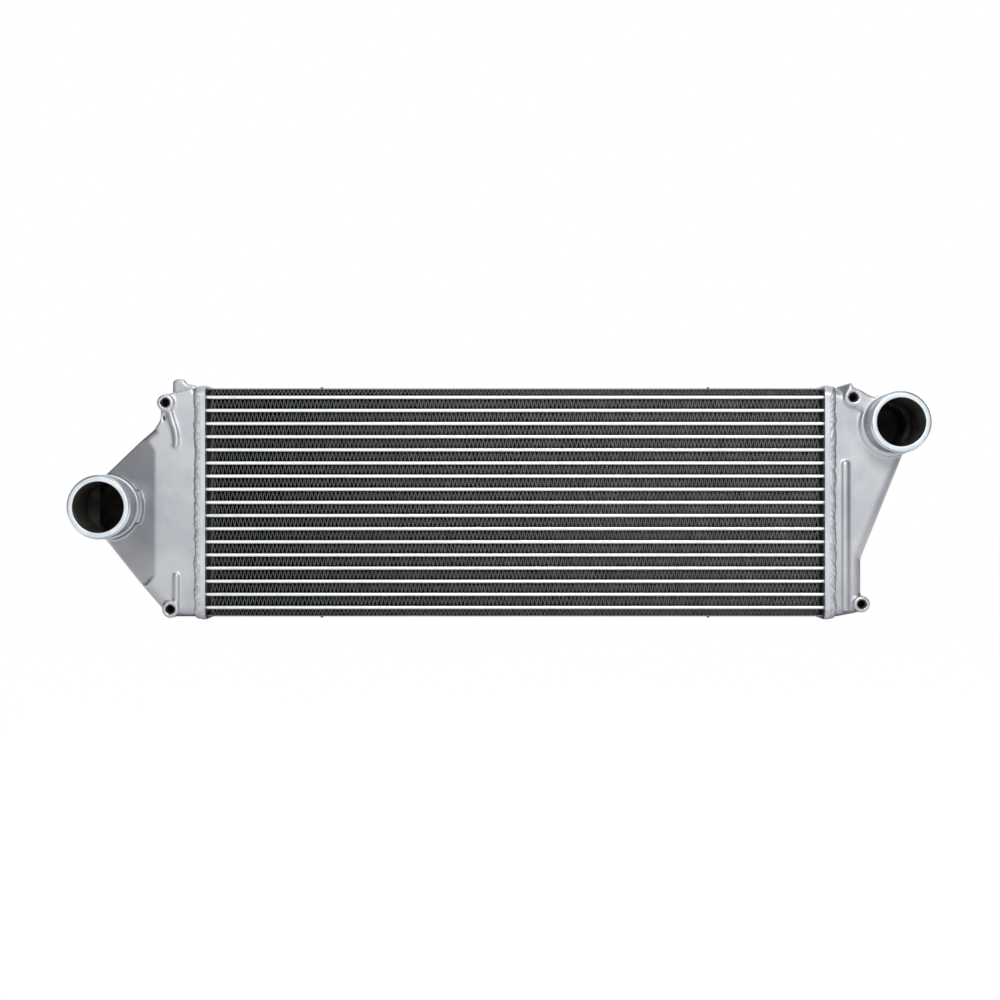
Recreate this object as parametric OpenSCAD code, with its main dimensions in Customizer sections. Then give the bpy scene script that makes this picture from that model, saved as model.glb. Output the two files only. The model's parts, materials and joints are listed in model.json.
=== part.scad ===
// Charge-air cooler: a brazed tube-and-fin core between two cast end tanks.
// X runs along the tubes, Y runs back through the core, Z is up.
// The air ports open towards -Y. The part stands on its two headers.

/* [Core] */
// Length of the core between the two headers
core_len = 616; // [420:2:760]
// Number of flat tubes
tube_count = 17; // [9:1:17]
// Distance from one tube to the next
tube_pitch = 13.15; // [11.5:0.05:15]
// Height of a tube's section
tube_h = 4.4; // [3.4:0.1:6]
// Depth of a tube's section, from nose to nose
tube_depth = 62; // [48:1:80]
// Wall of a tube
tube_wall = 0.5; // [0.35:0.05:0.8]
// How far a tube's end stands into the tank, past the header plate
tube_stand = 3; // [1.5:0.5:5]
// Thickness of a side plate
side_plate_t = 1.3; // [0.8:0.1:2.5]

/* [Fins] */
// Length of one full wave of an air fin
fin_pitch = 3.95; // [3.95:0.05:8]
// Height of the shorter fin under each side plate
end_fin_h = 5.3; // [4:0.1:9]
// Thickness of the fin strip
fin_t = 0.2; // [0.12:0.02:0.4]
// How far a fin's edge lies behind the tube's nose
fin_setback = 1; // [0:0.25:3]
// Bare stretch of tube between a fin's end and the header
fin_end_gap = 4; // [2:0.5:8]
// Length of one wave of the inner fin in a tube
turbulator_pitch = 5.4; // [4:0.2:9]
// Thickness of the inner fin strip
turbulator_t = 0.25; // [0.15:0.05:0.5]
// How far an inner fin's end lies inside the tube's end
turbulator_setback = 14; // [5:1:30]

/* [Headers] */
// Thickness of the header plate
header_t = 2.6; // [1.6:0.2:4]
// Height of the header's flange past its plate
flange_h = 3.4; // [2:0.2:6]
// Thickness of the header's flange
flange_t = 2.8; // [1.6:0.2:4]
// Height of the lip round each tube slot
slot_lip_h = 1.2; // [0.6:0.2:2]
// Width of the lip round each tube slot
slot_lip_w = 1.1; // [0.6:0.1:1.6]
// Gap between a tube and its slot, which the braze fills
braze_gap = 0.05; // [0.02:0.01:0.1]

/* [Tanks] */
// Wall of a cast tank
tank_wall = 3.2; // [2.4:0.2:4.4]
// Radius on a cast tank's outer edges
tank_edge_r = 8; // [6:0.5:10]
// Gap between a tank's rim and the header's flange, which the weld closes
rim_gap = 0.1; // [0.05:0.05:0.3]
// Gap between a tube's nose and the tank's inner wall
tube_tank_gap = 0.3; // [0.2:0.1:1]
// Distance from the outermost tube to the inside of the tank
tank_headroom = 3.7; // [2:0.1:8]

/* [Left tank] */
// Distance of the left port's axis from the tank's rim
left_port_out = 97; // [84:0.2:110]
// Height of the left port's axis above the middle of the core, negative below it
left_port_z = -4.6; // [-30:0.2:15]
// Radius of the tank's round end behind the left port
left_nose_r = 27; // [25:0.2:31]
// How far the middle of that round end lies above the port's axis
left_nose_lift = 1.4; // [0:0.1:3]
// Width of the tank's flat front, from its rim to the slope
left_flat_w = 49; // [40:0.5:56]
// How far the sloping face lies back at the port's axis
left_slope_back = 19; // [8:0.5:22]
// Radius of the hollow where the upper boss's web meets the slanting edge
web_hollow_r = 19; // [12:1:26]

/* [Right tank] */
// Distance of the right port's axis from the tank's rim
right_port_out = 66.4; // [62:0.2:84]
// Height of the right port's axis above the middle of the core
right_port_z = 78.7; // [60:0.5:84]
// Radius of the tank's round end behind the right port
right_nose_r = 22.2; // [20:0.2:30]
// Width of the straight foot of the tank, from its rim to its outer side
right_foot_w = 35.6; // [33:0.2:44]
// How far the foot's lower edge rises to its outer side
right_foot_rise = 3.2; // [0:0.2:6]
// Distance from the rim at which the foot's lower edge starts to rise
right_foot_turn = 11; // [7:0.5:18]

/* [Ports] */
// Inner radius of the left port
left_bore_r = 25.2; // [20:0.2:26]
// Inner radius of the right port
right_bore_r = 24; // [20:0.2:25]
// Wall of a port's neck
neck_wall = 4; // [2.6:0.2:4.4]
// How far the hose bead stands out of the neck
bead_rise = 2.4; // [1.4:0.2:3]
// Length of the bead's round crest along the port
bead_land = 3; // [2:0.2:5]
// Distance from the port's mouth to the middle of its bead
bead_back = 5.2; // [4.4:0.2:8]
// How far a port's mouth stands out in front of the tank
port_len = 42; // [30:1:60]
// How far the shoulder at a port's foot stands out of the neck
shoulder_rise = 3; // [1:0.2:4]
// Radius of the low disc under the right port's shoulder
right_disc_r = 31.6; // [29:0.2:34]
// How far that disc lies towards the core and downwards from the port's axis
right_disc_shift = 1.2; // [0:0.1:2]
// How far the shoulder stands out in front of the tank
shoulder_h = 2.5; // [1:0.25:5]

/* [Mounting points] */
// Radius of the cast hole in each mounting boss
boss_hole_r = 4.1; // [3:0.1:5]
// Depth of the cast hole in each mounting boss
boss_hole_depth = 24; // [14:1:30]
// Length of a boss from its face into the tank
boss_len = 31; // [25:1:40]
// How far a boss stands out in front of the tank
boss_rise = 2.5; // [1:0.25:4]
// Outer radius of the upper left boss
upper_left_boss_r = 8.4; // [7:0.1:10]
// Outer radius of the lower left boss
lower_left_boss_r = 8.5; // [6.5:0.1:9]
// Outer radius of the upper right boss
upper_right_boss_r = 9.3; // [7.5:0.1:10.5]
// Outer radius of the lower right boss
lower_right_boss_r = 8.3; // [6.5:0.1:9]

/* [Welds and ribs] */
// Width of the weld bead along the tank
weld_w = 7.6; // [5:0.2:10]
// How far one ripple of the weld bead rises over the dip beside it
weld_ripple = 0.5; // [0.2:0.1:0.8]
// Distance from one ripple of the weld bead to the next
weld_step = 8.5; // [6:0.5:14]
// Height of a stiffening rib on a tank
rib_rise = 2; // [1:0.25:3]
// Width of a short stiffening rib
rib_w = 4.2; // [3:0.2:8]
// Width of the long stiffening rib on the right tank
long_rib_w = 5.6; // [4:0.2:9]

/* [Hidden] */
// Overrun of a cut past the face it opens
cut = 1;
// Sides of a full round: a cast edge, a hull's disc, and everything else
ball_sides = 16;
ring_sides = 32;
round_sides = 48;

tube_names = [for (i = [1 : tube_count]) str("tube_", i < 10 ? "0" : "", i)];
turbulator_names = [for (i = [1 : tube_count]) str("turbulator_", i < 10 ? "0" : "", i)];
fin_names = [for (i = [1 : tube_count + 1]) str("fin_", i < 10 ? "0" : "", i)];

cast_colour = [0.76, 0.77, 0.79];
sheet_colour = [0.80, 0.82, 0.84];
tube_colour = [0.88, 0.90, 0.92];
fin_colour = [0.48, 0.50, 0.52];
weld_colour = [0.70, 0.71, 0.74];

// Heights of the stack, measured from the middle of the core
fin_h = tube_pitch - tube_h;
top_tube_z = (tube_count - 1) / 2 * tube_pitch;
stack_half = top_tube_z + tube_h / 2;
core_half = stack_half + end_fin_h + side_plate_t;

// The tank's rim, the header's pocket that takes it, and the header's outside
rim_u = core_len / 2 + header_t;
tank_inner_half = stack_half + tank_headroom;
tank_half = tank_inner_half + tank_wall;
tank_depth = tube_depth + 2 * (tube_tank_gap + tank_wall);
pocket_half = tank_half + rim_gap;
pocket_depth = tank_depth + 2 * rim_gap;
header_half = pocket_half + flange_t;
header_depth = pocket_depth + 2 * flange_t;
pocket_r = tank_edge_r + rim_gap;
flange_u = rim_u + flange_h;
core_mid_y = tube_depth / 2;
tank_front_y = core_mid_y - tank_depth / 2;
tank_back_y = core_mid_y + tank_depth / 2;
// How far a cast body starts inside its rim, before the rim is cut square
rim_reach = 2.5 * tank_edge_r;

// Ports
left_port = [rim_u + left_port_out, left_port_z];
right_port = [rim_u + right_port_out, right_port_z];
left_neck_r = left_bore_r + neck_wall;
right_neck_r = right_bore_r + neck_wall;
mouth_y = tank_front_y - port_len;
// Where a port's bore ends inside the tank, short of its root so that the wall stays closed
bore_end_y = core_mid_y - 2 * neck_wall;

// The part's frame stands on the headers, under the middle of its outer box
frame_shift = [
    (left_port[0] + left_neck_r + bead_rise - right_port[0] - right_neck_r - bead_rise) / 2,
    -(mouth_y + core_mid_y + header_depth / 2) / 2,
    header_half];

// How far each tank's top and bottom edges run straight out from its rim, as shares of the port's distance
left_top_share = 0.008;
left_bottom_share = 0.33;
right_top_share = 0.06;
right_bottom_share = 0.10;
// How far the left tank's upper corner block runs out, and how low it reaches, as shares
left_block_share = 0.133;
left_block_low_share = 0.66;
// Height of the right tank's straight foot, as a share of the tank's half height
right_foot_top_share = -0.44;

// Mounting bosses, as shares of the port's distance and of the tank's half height
upper_left_boss_shares = [0.396, 0.870];
lower_left_boss_shares = [0.344, -0.934];
upper_right_boss_shares = [0.408, 0.917];
lower_right_boss_shares = [0.532, -0.889];
// Outer side of the web that carries the upper left boss, and a point inside its foot
web_side_share = 0.444;
web_foot_shares = [0.253, 0.55];

// A point of a tank's outline, from its shares
function tank_point(s, port_out) = [rim_u + s[0] * port_out, s[1] * tank_half];
function tank_points(list, port_out) = [for (s = list) tank_point(s, port_out)];
upper_left_boss = tank_point(upper_left_boss_shares, left_port_out);
lower_left_boss = tank_point(lower_left_boss_shares, left_port_out);
upper_right_boss = tank_point(upper_right_boss_shares, right_port_out);
lower_right_boss = tank_point(lower_right_boss_shares, right_port_out);
web_foot = tank_point(web_foot_shares, left_port_out);
left_nose = left_port + [0, left_nose_lift];
edge_ys = [tank_front_y + tank_edge_r, tank_back_y - tank_edge_r];

// Places a node in the part's frame
module placed() {
    translate(frame_shift) children();
}

// Turns a shape drawn in X and Z, and raised along Z, so that it runs back along Y
module run_back(y0, y1) {
    translate([0, y1, 0]) rotate([90, 0, 0]) linear_extrude(y1 - y0) children();
}

// Turns a cylinder's axis along Y, from y0 to y1, at a point in X and Z
module bar_back(p, r, y0, y1) {
    translate([p[0], y1, p[1]]) rotate([90, 0, 0]) cylinder(r = r, h = y1 - y0, $fn = round_sides);
}

// A left-hand piece is drawn on the right and mirrored
module left_hand() {
    mirror([1, 0, 0]) children();
}

// A ball whose corners lie on its axes, so that what it rounds keeps its size
module ball(r) {
    rotate_extrude($fn = ball_sides)
        polygon(concat([[0, -r]], [for (i = [1 - ball_sides / 4 : ball_sides / 4 - 1])
            let (a = i * 360 / ball_sides) [r * cos(a), r * sin(a)]], [[0, r]]));
}

// The two long edges of a cast body at a height, run out along X from inside the rim, with round ends
module edge_bars(z, out, inset) {
    for (y = edge_ys) translate([rim_u - rim_reach, y, z]) {
        rotate([0, 90, 0]) cylinder(r = tank_edge_r - inset, h = rim_reach + out, $fn = ball_sides);
        translate([rim_reach + out, 0, 0]) ball(tank_edge_r - inset);
    }
}

// The round edges of an upright disc, front and back
module disc_edges(p, r, inset) {
    for (y = edge_ys) translate([p[0], y, p[1]]) rotate([90, 0, 0])
        rotate_extrude($fn = ring_sides)
            translate([r - tank_edge_r, 0]) circle(r = tank_edge_r - inset, $fn = ball_sides);
}

// The left tank's hollow body, grown inwards by an inset: a slanting part to the port, and a block that
// keeps the rim's upper corner straight for the weld
module left_body(inset) {
    edge_z = tank_half - tank_edge_r;
    hull() {
        edge_bars(edge_z, left_top_share * left_port_out, inset);
        edge_bars(-edge_z, left_bottom_share * left_port_out, inset);
        disc_edges(left_nose, left_nose_r, inset);
    }
    hull() {
        edge_bars(edge_z, left_block_share * left_port_out, inset);
        edge_bars(left_block_low_share * tank_half, left_block_share * left_port_out, inset);
    }
}

// The web between the left tank's rim, its upper boss and the slanting edge, which it joins in a hollow
web_top_turn = 78;
module boss_web() {
    corner = [rim_u + left_top_share * left_port_out, tank_half - tank_edge_r];
    run = left_nose - corner;
    fall = atan2(-run[1], run[0]) - asin((left_nose_r - tank_edge_r) / norm(run));
    out = [sin(fall), cos(fall)];
    edge = corner + tank_edge_r * out;
    side = rim_u + web_side_share * left_port_out;
    hollow_u = side + web_hollow_r;
    hollow = [hollow_u, edge[1] + (web_hollow_r - (hollow_u - edge[0]) * out[0]) / out[1]];
    turns = [for (k = [0 : ball_sides]) 180 + (90 - fall) * k / ball_sides];
    weld_end = rim_u + flange_h + weld_w + rim_gap;
    run_back(tank_front_y, tank_front_y + boss_len - boss_rise)
        polygon(concat(
            [[weld_end, tank_half - rim_gap],
             upper_left_boss + upper_left_boss_r * [cos(web_top_turn), sin(web_top_turn)],
             [side, upper_left_boss[1]]],
            [for (a = turns) hollow + web_hollow_r * [cos(a), sin(a)]],
            [hollow - (web_hollow_r + tank_edge_r) * out, web_foot, [weld_end, web_foot[1]]]));
}

// The right tank's hollow body: a slanting part to the port, and a straight foot
module right_body(inset) {
    edge_z = tank_half - tank_edge_r;
    hull() {
        edge_bars(edge_z, right_top_share * right_port_out, inset);
        edge_bars(-edge_z, right_bottom_share * right_port_out, inset);
        disc_edges(right_port, right_nose_r, inset);
    }
    hull() {
        edge_bars(right_foot_top_share * tank_half, right_foot_w - tank_edge_r, inset);
        edge_bars(-edge_z, right_foot_turn, inset);
        edge_bars(right_foot_rise - edge_z, right_foot_w - tank_edge_r, inset);
    }
}

// The space in front of the left tank's sloping face, set back by a wall for the inside
slope_corner_shares = [[0, 0.44], [0.1, 0.55], [2, 0.55], [2, -0.725], [0.1, -0.725], [0, -0.64]];
module slope_space(wall) {
    slope = atan2(left_slope_back, left_port_out - left_flat_w);
    start = rim_u + left_flat_w - wall * tan(slope / 2);
    run = 2 * left_port_out;
    front = tank_front_y + wall;
    intersection() {
        translate([start, 0, -tank_half])
            linear_extrude(2 * tank_half)
                polygon([[0, front], [run, front + run * tan(slope)], [run, tank_front_y - cut],
                         [0, tank_front_y - cut]]);
        run_back(tank_front_y - 2 * cut, tank_back_y)
            polygon([for (s = slope_corner_shares)
                [rim_u + left_flat_w + s[0] * left_port_out - wall, s[1] * tank_half + sign(s[1]) * wall]]);
    }
}

// A hose port: neck, rolled bead near its mouth, and a low shoulder at its foot that runs back into the
// tank's round end and tapers to it
module spigot(p, neck_r, nose_r) {
    bead_r = neck_r + bead_rise;
    foot_r = neck_r + shoulder_rise;
    root = core_mid_y - mouth_y;
    lip = bead_back - bead_land / 2 - bead_rise;
    foot = port_len - shoulder_h;
    translate([p[0], mouth_y, p[1]]) rotate([-90, 0, 0])
        rotate_extrude($fn = round_sides)
            polygon([
                [0, 0], [neck_r - lip / 2, 0], [neck_r, lip / 2], [neck_r, lip],
                [bead_r - bead_rise / 3, bead_back - bead_land / 2 - bead_rise / 3],
                [bead_r, bead_back - bead_land / 2], [bead_r, bead_back + bead_land / 2],
                [bead_r - bead_rise / 3, bead_back + bead_land / 2 + bead_rise / 3],
                [neck_r, bead_back + bead_land / 2 + bead_rise], [neck_r, foot - shoulder_rise],
                [foot_r, foot], [foot_r, root - (foot_r - nose_r)], [nose_r, root], [0, root]]);
}

// A boss with a round face, run back into the tank
module boss(p, r) {
    bar_back(p, r, tank_front_y - boss_rise, tank_front_y - boss_rise + boss_len);
}

module boss_hole(p) {
    bar_back(p, boss_hole_r, tank_front_y - boss_rise - cut, tank_front_y - boss_rise + boss_hole_depth);
}

// A rib of legs between points of the tank's face, each a little narrower than the discs that join them
rib_leg_share = 0.96;
module rib(points, w) {
    leg_w = w * rib_leg_share;
    run_back(tank_front_y - rib_rise, tank_front_y + cut) {
        for (i = [0 : len(points) - 2]) {
            leg = points[i + 1] - points[i];
            translate(points[i]) rotate(atan2(leg[1], leg[0]))
                translate([0, -leg_w / 2]) square([norm(leg), leg_w]);
        }
        for (p = points) translate(p) circle(r = w / 2, $fn = round_sides);
    }
}

// The small pocket beside the curved rib, under the upper left boss
pocket_shares = [0.414, 0.72];
module web_pocket() {
    p = tank_point(pocket_shares, left_port_out);
    r = boss_hole_r / 3;
    run_back(tank_front_y - cut, tank_front_y + tank_wall / 2) {
        translate(p) circle(r = r, $fn = round_sides);
        translate(p + [-r, 0]) square([2 * r, boss_hole_r]);
        translate(p + [0, boss_hole_r]) circle(r = r, $fn = round_sides);
    }
}

module left_tank() {
    curved_rib = tank_points([[0.350, 0.785], [0.325, 0.707], [0.294, 0.628], [0.280, 0.541], [0.287, 0.497]],
                             left_port_out);
    straight_rib = tank_points([[0.283, -0.64], [0.283, -0.875]], left_port_out);
    color(cast_colour) placed() left_hand() difference() {
        union() {
            difference() {
                left_body(0);
                slope_space(0);
            }
            boss_web();
            spigot(left_port, left_neck_r, left_nose_r);
            port_step();
            boss(upper_left_boss, upper_left_boss_r);
            boss(lower_left_boss, lower_left_boss_r);
            rib(curved_rib, rib_w);
            rib(straight_rib, rib_w);
            top_lug();
        }
        // The inside of the casting
        difference() {
            left_body(tank_wall);
            slope_space(tank_wall);
            boss(upper_left_boss, upper_left_boss_r);
            boss(lower_left_boss, lower_left_boss_r);
        }
        bar_back(left_port, left_bore_r, mouth_y - cut, bore_end_y);
        boss_hole(upper_left_boss);
        boss_hole(lower_left_boss);
        web_pocket();
        rim_cut();
    }
}

// Takes off what a tank's body has past its rim
module rim_cut() {
    translate([rim_u - 2 * rim_reach, tank_front_y - cut, -tank_half - cut])
        cube([2 * rim_reach, tank_depth + 2 * cut, 2 * (tank_half + cut)]);
}

// The flat crescent beside the left port, level with the tank's front
crescent_share = 1.11;
crescent_half_share = 0.45;
module port_step() {
    r = crescent_share * (left_neck_r + shoulder_rise);
    half = crescent_half_share * r;
    intersection() {
        bar_back(left_port, r, tank_front_y, tank_front_y + left_slope_back);
        translate([left_port[0] - 2 * r, tank_front_y - cut, left_port[1] - half])
            cube([2 * r, left_slope_back + 2 * cut, 2 * half]);
    }
}

// The upright lug on top of the left tank, near its back
lug_shares = [[0.386, -0.2], [0.386, 0.077], [0.347, 0.098], [0.275, 0.098], [0.233, 0.054], [0.156, 0.046],
              [0.13, 0.022], [0.13, -0.05]];
lug_back_share = 0.52;
lug_t_share = 0.13;
module top_lug() {
    y0 = tank_front_y + lug_back_share * tank_depth;
    run_back(y0, y0 + lug_t_share * tank_depth)
        polygon([for (s = lug_shares) [rim_u + s[0] * left_port_out, (1 + s[1]) * tank_half]]);
}

// The flat pad that joins the upper right boss to the port's shoulder
pad_shares = [[0.301, 0.969], [0.373, 1.042], [0.411, 1.003], [0.532, 0.976], [0.622, 0.941], [0.756, 0.911],
              [0.85, 0.80], [0.562, 0.801], [0.471, 0.823]];
module ear_pad() {
    y0 = tank_front_y - boss_rise;
    run_back(y0, y0 + boss_len / 2)
        polygon([for (s = pad_shares) tank_point(s, right_port_out)]);
}

// The fillet that falls back from the ear to the tank's top edge: points, and the depth at which each starts
ear_fillet_shares = [[0.19, 1.002, 0.37], [0.368, 1.034, 0.05], [0.3, 0.945, 0.05], [0.19, 0.93, 0.3]];
ear_fillet_r = boss_rise / 2;
module ear_fillet() {
    back = tank_front_y - boss_rise + boss_len / 2;
    hull() {
        for (s = ear_fillet_shares)
            bar_back(tank_point(s, right_port_out), ear_fillet_r, tank_front_y - boss_rise + s[2] * boss_len, back);
    }
}

module right_tank() {
    long_rib = tank_points([[0.289, 0.335], [0.289, -0.93]], right_port_out);
    color(cast_colour) placed() difference() {
        union() {
            right_body(0);
            spigot(right_port, right_neck_r, right_nose_r);
            bar_back(right_port - right_disc_shift * [1, 1], right_disc_r, tank_front_y - shoulder_h,
                     tank_front_y + tank_wall);
            boss(upper_right_boss, upper_right_boss_r);
            boss(lower_right_boss, lower_right_boss_r);
            ear_pad();
            ear_fillet();
            rib(long_rib, long_rib_w);
        }
        difference() {
            right_body(tank_wall);
            boss(upper_right_boss, upper_right_boss_r);
            boss(lower_right_boss, lower_right_boss_r);
        }
        bar_back(right_port, right_bore_r, mouth_y - cut, bore_end_y);
        boss_hole(upper_right_boss);
        boss_hole(lower_right_boss);
        rim_cut();
    }
}

// A rounded rectangle in Y and Z, run along X from u0 to u1
module run_out(u0, u1, half, depth, r) {
    translate([u0, core_mid_y, 0]) rotate([90, 0, 90]) linear_extrude(u1 - u0)
        union() {
            square([depth - 2 * r, 2 * half], center = true);
            square([depth, 2 * (half - r)], center = true);
            for (sy = [-1, 1]) for (sz = [-1, 1])
                translate([sy * (depth / 2 - r), sz * (half - r)]) circle(r = r, $fn = round_sides);
        }
}

// A flat tube's section in Y and Z, grown by a margin, run along X
module flat_section(u0, u1, z, grow) {
    h = tube_h + 2 * grow;
    straight = tube_depth - tube_h;
    translate([u0, core_mid_y, z]) rotate([90, 0, 90]) linear_extrude(u1 - u0)
        union() {
            square([straight, h], center = true);
            for (s = [-1, 1]) translate([s * straight / 2, 0]) circle(r = h / 2, $fn = round_sides);
        }
}

function tube_z(i) = top_tube_z - (i - 1) * tube_pitch;

// A pressed header: a plate with a slot and a lip for each tube, in a shallow flange
module header() {
    difference() {
        union() {
            difference() {
                run_out(core_len / 2, flange_u, header_half, header_depth, pocket_r + flange_t);
                run_out(rim_u, flange_u + cut, pocket_half, pocket_depth, pocket_r);
            }
            for (i = [1 : tube_count])
                flat_section(rim_u - cut, rim_u + slot_lip_h, tube_z(i), braze_gap + slot_lip_w);
        }
        for (i = [1 : tube_count])
            flat_section(core_len / 2 - cut, rim_u + slot_lip_h + cut, tube_z(i), braze_gap);
    }
}

module left_header() {
    color(sheet_colour) placed() left_hand() header();
}

module right_header() {
    color(sheet_colour) placed() header();
}

module tube(i) {
    end = rim_u + tube_stand;
    color(tube_colour) placed() difference() {
        flat_section(-end, end, tube_z(i), 0);
        flat_section(-end - cut, end + cut, tube_z(i), -tube_wall);
    }
}

// The outline of a folded strip: waves of the given length and height, n of them
function folded_strip(n, pitch, h, t) = concat(
    [for (k = [0 : 2 * n]) [k * pitch / 2, k % 2 == 0 ? -h / 2 : h / 2 - t]],
    [for (k = [2 * n : -1 : 0]) [k * pitch / 2, k % 2 == 0 ? t - h / 2 : h / 2]]);

// The strip is folded so that its legs keep their thickness square to themselves
function upright_t(t, pitch, h) = t / sin(atan2(pitch / 2, h));

module air_fin(i) {
    at_end = i == 1 || i == tube_count + 1;
    h = at_end ? end_fin_h : fin_h;
    z = at_end ? (i == 1 ? 1 : -1) * (stack_half + end_fin_h / 2) : tube_z(i) + tube_pitch / 2;
    room = core_len - 2 * fin_end_gap;
    n = floor(room / fin_pitch);
    color(fin_colour) placed() translate([-room / 2, 0, z])
        run_back(fin_setback, tube_depth - fin_setback)
            polygon(folded_strip(n, room / n, h, upright_t(fin_t, room / n, h)));
}

module turbulator(i) {
    end = rim_u + tube_stand - turbulator_setback;
    h = tube_h - 2 * tube_wall;
    room = tube_depth - tube_h;
    n = floor(room / turbulator_pitch);
    color(tube_colour) placed() translate([-end, core_mid_y - room / 2, tube_z(i)])
        rotate([90, 0, 90]) linear_extrude(2 * end)
            polygon(folded_strip(n, room / n, h, upright_t(turbulator_t, room / n, h)));
}

// A side plate with two pressed pips on its outer face
pip_place_share = 0.314;
pip_r = side_plate_t;
module side_plate() {
    translate([-core_len / 2, fin_setback, stack_half + end_fin_h])
        cube([core_len, tube_depth - 2 * fin_setback, side_plate_t]);
    for (s = [-1, 1])
        translate([s * pip_place_share * core_len, fin_setback + 2 * pip_r, core_half - side_plate_t / 2])
            cylinder(r = pip_r, h = 1.5 * side_plate_t, $fn = round_sides);
}

module top_side_plate() {
    color(sheet_colour) placed() side_plate();
}

module bottom_side_plate() {
    color(sheet_colour) placed() mirror([0, 0, 1]) side_plate();
}

// The weld bead's route: points and outward directions round the tank's rim, in Y and Z
function arc_stations(c, from) = [for (k = [0 : ball_sides / 4]) let (a = from + k * 360 / ball_sides)
    [c + tank_edge_r * [cos(a), sin(a)], [cos(a), sin(a)]]];
function line_stations(a, b, out) = let (n = 2 * floor(norm(b - a) / weld_step))
    [for (k = [1 : n - 1]) [a + (b - a) * k / n, out]];
hy = tank_depth / 2 - tank_edge_r;
hz = tank_half - tank_edge_r;
weld_stations = concat(
    arc_stations([hy, hz], 0), line_stations([hy, tank_half], [-hy, tank_half], [0, 1]),
    arc_stations([-hy, hz], 90), line_stations([-tank_depth / 2, hz], [-tank_depth / 2, -hz], [-1, 0]),
    arc_stations([-hy, -hz], 180), line_stations([-hy, -tank_half], [hy, -tank_half], [0, -1]),
    arc_stations([hy, -hz], 270), line_stations([tank_depth / 2, -hz], [tank_depth / 2, hz], [1, 0]));

// One station's section: seam, top of the flange, crown, toe on the tank
weld_top_share = 0.92;
weld_crown_shares = [0.42, 0.85];
function weld_section(k) = let (
        lift = k % 2 == 0 ? 0 : -weld_ripple,
        top = weld_top_share * (flange_t + rim_gap),
        width = weld_w + 2 * lift)
    [[0, 0], [0, top], [weld_crown_shares[0] * width, weld_crown_shares[1] * top + lift], [width, 0]];

module weld_bead() {
    count = len(weld_stations);
    corners = 4;
    points = [for (k = [0 : count - 1]) let (s = weld_stations[k]) for (c = weld_section(k))
        [flange_u + c[0], core_mid_y + s[0][0] + c[1] * s[1][0], s[0][1] + c[1] * s[1][1]]];
    faces = [for (k = [0 : count - 1]) for (c = [0 : corners - 1]) let (
            a = k * corners + c, b = k * corners + (c + 1) % corners,
            d = (k + 1) % count * corners + c, e = (k + 1) % count * corners + (c + 1) % corners)
        for (f = [[a, b, e], [a, e, d]]) f];
    polyhedron(points = points, faces = faces);
}

module left_weld_bead() {
    color(weld_colour) placed() left_hand() weld_bead();
}

module right_weld_bead() {
    color(weld_colour) placed() weld_bead();
}

left_tank();
right_tank();
left_header();
right_header();
left_weld_bead();
right_weld_bead();
top_side_plate();
bottom_side_plate();
for (i = [1 : tube_count]) {
    tube(i);
    turbulator(i);
}
for (i = [1 : tube_count + 1])
    air_fin(i);
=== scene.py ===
import json
import math

import bmesh
import bpy
from mathutils import Matrix, Vector, noise
from mathutils.bvhtree import BVHTree


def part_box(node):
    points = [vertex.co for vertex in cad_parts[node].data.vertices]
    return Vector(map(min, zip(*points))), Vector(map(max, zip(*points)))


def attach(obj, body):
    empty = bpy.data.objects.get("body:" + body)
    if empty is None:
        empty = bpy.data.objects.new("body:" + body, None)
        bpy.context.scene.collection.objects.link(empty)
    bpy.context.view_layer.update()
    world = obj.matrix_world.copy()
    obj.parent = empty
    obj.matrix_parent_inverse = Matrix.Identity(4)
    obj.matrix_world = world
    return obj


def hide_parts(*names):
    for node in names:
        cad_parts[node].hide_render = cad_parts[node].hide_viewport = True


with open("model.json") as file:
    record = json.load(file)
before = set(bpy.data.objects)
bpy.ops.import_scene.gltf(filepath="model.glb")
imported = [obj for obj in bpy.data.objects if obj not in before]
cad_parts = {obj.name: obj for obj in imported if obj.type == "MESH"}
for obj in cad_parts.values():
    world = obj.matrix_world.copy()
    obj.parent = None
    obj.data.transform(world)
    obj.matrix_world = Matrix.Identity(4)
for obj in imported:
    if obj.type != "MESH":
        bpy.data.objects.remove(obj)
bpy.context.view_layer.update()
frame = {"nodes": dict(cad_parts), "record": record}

# Camera
# A level view along the ports' axes, from a little to the left of the core's middle.
# The picture is one metre wide where the tubes' noses lie, which sets the field of view.
VIEW_DISTANCE = 1.900
VIEW_WIDTH = 1.000
VIEW_LEFT_OF_CORE = 0.015
VIEW_ABOVE_CORE = 0.0024

tube_low, tube_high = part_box("tube_09")
core_middle = (tube_low + tube_high) / 2
camera = bpy.data.objects.new("camera", bpy.data.cameras.new("camera"))
bpy.context.scene.collection.objects.link(camera)
camera.data.angle = 2 * math.atan(VIEW_WIDTH / 2 / VIEW_DISTANCE)
camera.location = (
    core_middle.x - VIEW_LEFT_OF_CORE,
    tube_low.y - VIEW_DISTANCE,
    core_middle.z + VIEW_ABOVE_CORE,
)
camera.rotation_euler = (math.radians(90), 0, 0)
bpy.context.scene.camera = camera

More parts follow.
